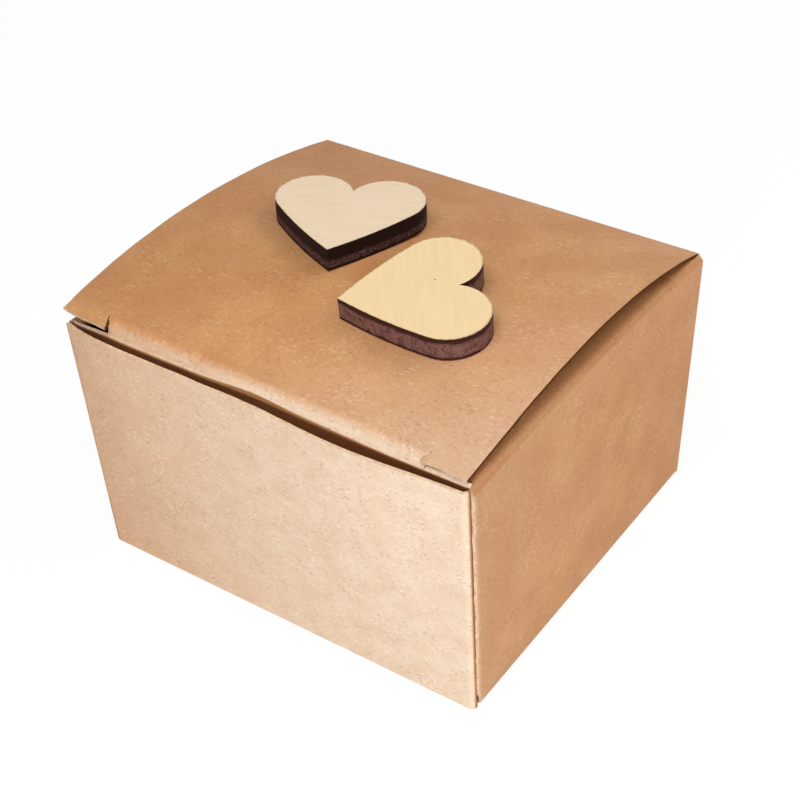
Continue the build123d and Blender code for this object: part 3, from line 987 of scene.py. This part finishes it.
hearts = {
    "left": (
        heart_place((-8.1, 2.2), 23.0),
        veneer("left_veneer", (0.765, 0.605, 0.428), (0.745, 0.578, 0.400), 14, (30, 30, 0)),
        # The left heart's edge is painted darker than the right one's: painted shade for its sides turned
        # from the light.
        scorched_edge("left_scorched_edge_shaded", (0.014, 0.005, 0.004), (0.062, 0.029, 0.029), 1.2),
    ),
    "right": (
        heart_place((9.0, -7.1), -51.0),
        veneer("right_veneer", (0.780, 0.590, 0.335), (0.764, 0.564, 0.312), -2, (-1.49, 2.59, 0)),
        scorched_edge("right_scorched_edge", (0.036, 0.011, 0.008), (0.168, 0.078, 0.068), 2.25),
    ),
}
for heart_name, (placing, *looks) in hearts.items():
    for layer, ply_name in enumerate(("back", "core", "face")):
        piece_name = f"{heart_name}_heart_{ply_name}_veneer"
        piece = heart_ply(piece_name, layer * ply, (layer + 1) * ply, placing, looks)
        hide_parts(f"{heart_name}_heart_{ply_name}_ply")
        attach(piece, "lid")

# Glue dots: craft glue squeezed out flat between each heart and the curved lid, dried yellowish and
# half clear.
dot_radius = 4.0


def dried_glue():
    """Dried glue: pale amber with cloudy patches, a little glossy."""
    made, tree, shader = new_material("dried_glue")
    place = node(tree, "ShaderNodeTexCoord").outputs["Object"]
    haze = ramp(tree, cloud(tree, place, 1.5 * mm, 3.0, "3D"), 0.3, 0.7)
    plug(tree, shader.inputs["Base Color"], tint(tree, haze, (0.62, 0.47, 0.28), (0.78, 0.70, 0.55)))
    plug(tree, shader.inputs["Roughness"], ramp(tree, haze, 0.0, 1.0, 0.3, 0.5))
    return made


glue_look = dried_glue()


def glue_dot(name, placing):
    """A flat drop: rings with a wavy outline, between the lid's curve and the heart's underside."""
    origin, directions = placing
    around = np.linspace(0, 2 * np.pi, 60, endpoint=False)
    wavy = dot_radius * (1 + 0.05 * np.sin(3 * around + 1) + 0.03 * np.sin(7 * around))
    scale = np.r_[0.4, 0.75, 0.95, 1.0, 0.95, 0.75, 0.4]
    share = np.r_[0, 0, 0.1, 0.5, 0.9, 1, 1]
    flat = joined(np.cos(around), np.sin(around)) * wavy[:, None] * scale[:, None, None]
    behind = flat @ directions[:2, 1]
    fall = behind**2 / (2 * arch_radius) + np.tan(heart_pitch) * behind
    local = joined(flat[..., 0], flat[..., 1], -(glue_rise + fall) * (1 - share[:, None]))
    poles = np.array([[0, 0, -glue_rise], [0, 0, 0]])
    mesh, _, _ = ringed_solid(name, origin + local @ directions, origin + poles @ directions)
    mesh.shade_smooth()
    mesh.materials.append(glue_look)
    return placed(name, mesh)


for heart_name, (placing, *_) in hearts.items():
    dot = glue_dot(f"{heart_name}_glue_dot", placing)
    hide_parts(f"{heart_name}_heart_glue")
    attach(dot, "lid")

# Studio: a plain white floor that keeps the soft shadow, soft lamps high up behind, beside and in
# front of the box, two low ones that light its walls, and a pale surround.
floor_reach, floor_level = 3, -0.00003
floor_lift, floor_glow = 0.9, 1.03
surround_fill = 0.2
lamp_target = np.array([0, 0, 25])
lamps = {
    "back_lamp": ((150, 250, 330), 0.2, 0.45),
    "right_lamp": ((270, 60, 320), 0.2, 0.22),
    "front_lamp": ((30, -150, 380), 0.2, 0.85),
    "low_front_lamp": ((120, -310, 105), 0.05, 0.49),
    "low_right_lamp": ((320, -110, 28), 0.05, 0.25),
}


def white_floor():
    """White floor: matt, lifted towards white where the camera sees it, and clear from below."""
    made, tree, shader = new_material("white_floor")
    shader.inputs["Base Color"].default_value = (0.75, 0.75, 0.75, 1)
    shader.inputs["Roughness"].default_value = 1.0
    path = node(tree, "ShaderNodeLightPath")
    seen = product(tree, path.outputs["Is Camera Ray"], floor_lift)
    glow = node(tree, "ShaderNodeEmission", {"Color": (1, 1, 1, 1), "Strength": floor_glow})
    lifted = node(tree, "ShaderNodeMixShader", {0: seen, 1: shader.outputs[0], 2: glow.outputs[0]})
    side = node(tree, "ShaderNodeNewGeometry").outputs["Backfacing"]
    clear = node(tree, "ShaderNodeBsdfTransparent")
    whole = node(tree, "ShaderNodeMixShader", {0: side, 1: lifted.outputs[0], 2: clear.outputs[0]})
    tree.links.new(whole.outputs[0], tree.nodes["Material Output"].inputs["Surface"])
    return made


floor_mesh = bpy.data.meshes.new("floor")
floor_corners = ((-1, -1), (1, -1), (1, 1), (-1, 1))
floor_points = [(floor_reach * x, floor_reach * y, floor_level) for x, y in floor_corners]
floor_mesh.from_pydata(floor_points, [], [(0, 1, 2, 3)])
floor_mesh.materials.append(white_floor())
floor = placed("floor", floor_mesh)


def aim(thing, place, right, back):
    """Sets a lamp or camera at a place in mm, with its right side and its back towards two directions."""
    turn = np.stack([right, np.cross(back, right), back], axis=1)
    thing.matrix_world = Matrix.Translation(np.array(place) * mm) @ Matrix(turn.tolist()).to_4x4()


for lamp_name, (place, size, power) in lamps.items():
    lamp = bpy.data.lights.new(lamp_name, "AREA")
    lamp.shape = "SQUARE"
    lamp.size = size
    lamp.energy = power
    back = unit(place - lamp_target)
    aim(placed(lamp_name, lamp), place, unit(np.cross([0, 0, 1], back)), back)

world = bpy.data.worlds.new("surround")
bpy.context.scene.world = world
world.use_nodes = True
sky = world.node_tree
rays = node(sky, "ShaderNodeLightPath")
mirrored = math(sky, "MAXIMUM", rays.outputs["Is Glossy Ray"], rays.outputs["Is Transmission Ray"])
shown = math(sky, "MAXIMUM", rays.outputs["Is Camera Ray"], mirrored)
sky.nodes["Background"].inputs["Color"].default_value = (1, 1, 1, 1)
sky.links.new(ramp(sky, shown, 0.0, 1.0, surround_fill, 1.0), sky.nodes["Background"].inputs["Strength"])

# Camera: set where the photograph's corners of the box put it.
photo_width, photo_focal = 800, 1579.46
camera_place = (98.777, -132.912, 145.142)
azimuth, elevation, roll = np.radians([36.653, 41.061, -3.108])
cam_data = bpy.data.cameras.new("camera")
cam_data.sensor_width = 36.0
cam_data.lens = photo_focal * cam_data.sensor_width / photo_width
cam_data.shift_y = 0.125
cam_data.clip_start = 0.01
level_back = np.array([np.sin(azimuth), -np.cos(azimuth), 0])
back = np.cos(elevation) * level_back + [0, 0, np.sin(elevation)]
level_right = np.array([np.cos(azimuth), np.sin(azimuth), 0])
level_up = np.cross(back, level_right)
camera = placed("camera", cam_data)
aim(camera, camera_place, np.cos(roll) * level_right + np.sin(roll) * level_up, back)
bpy.context.scene.camera = camera
bpy.context.scene.view_settings.view_transform = "Standard"
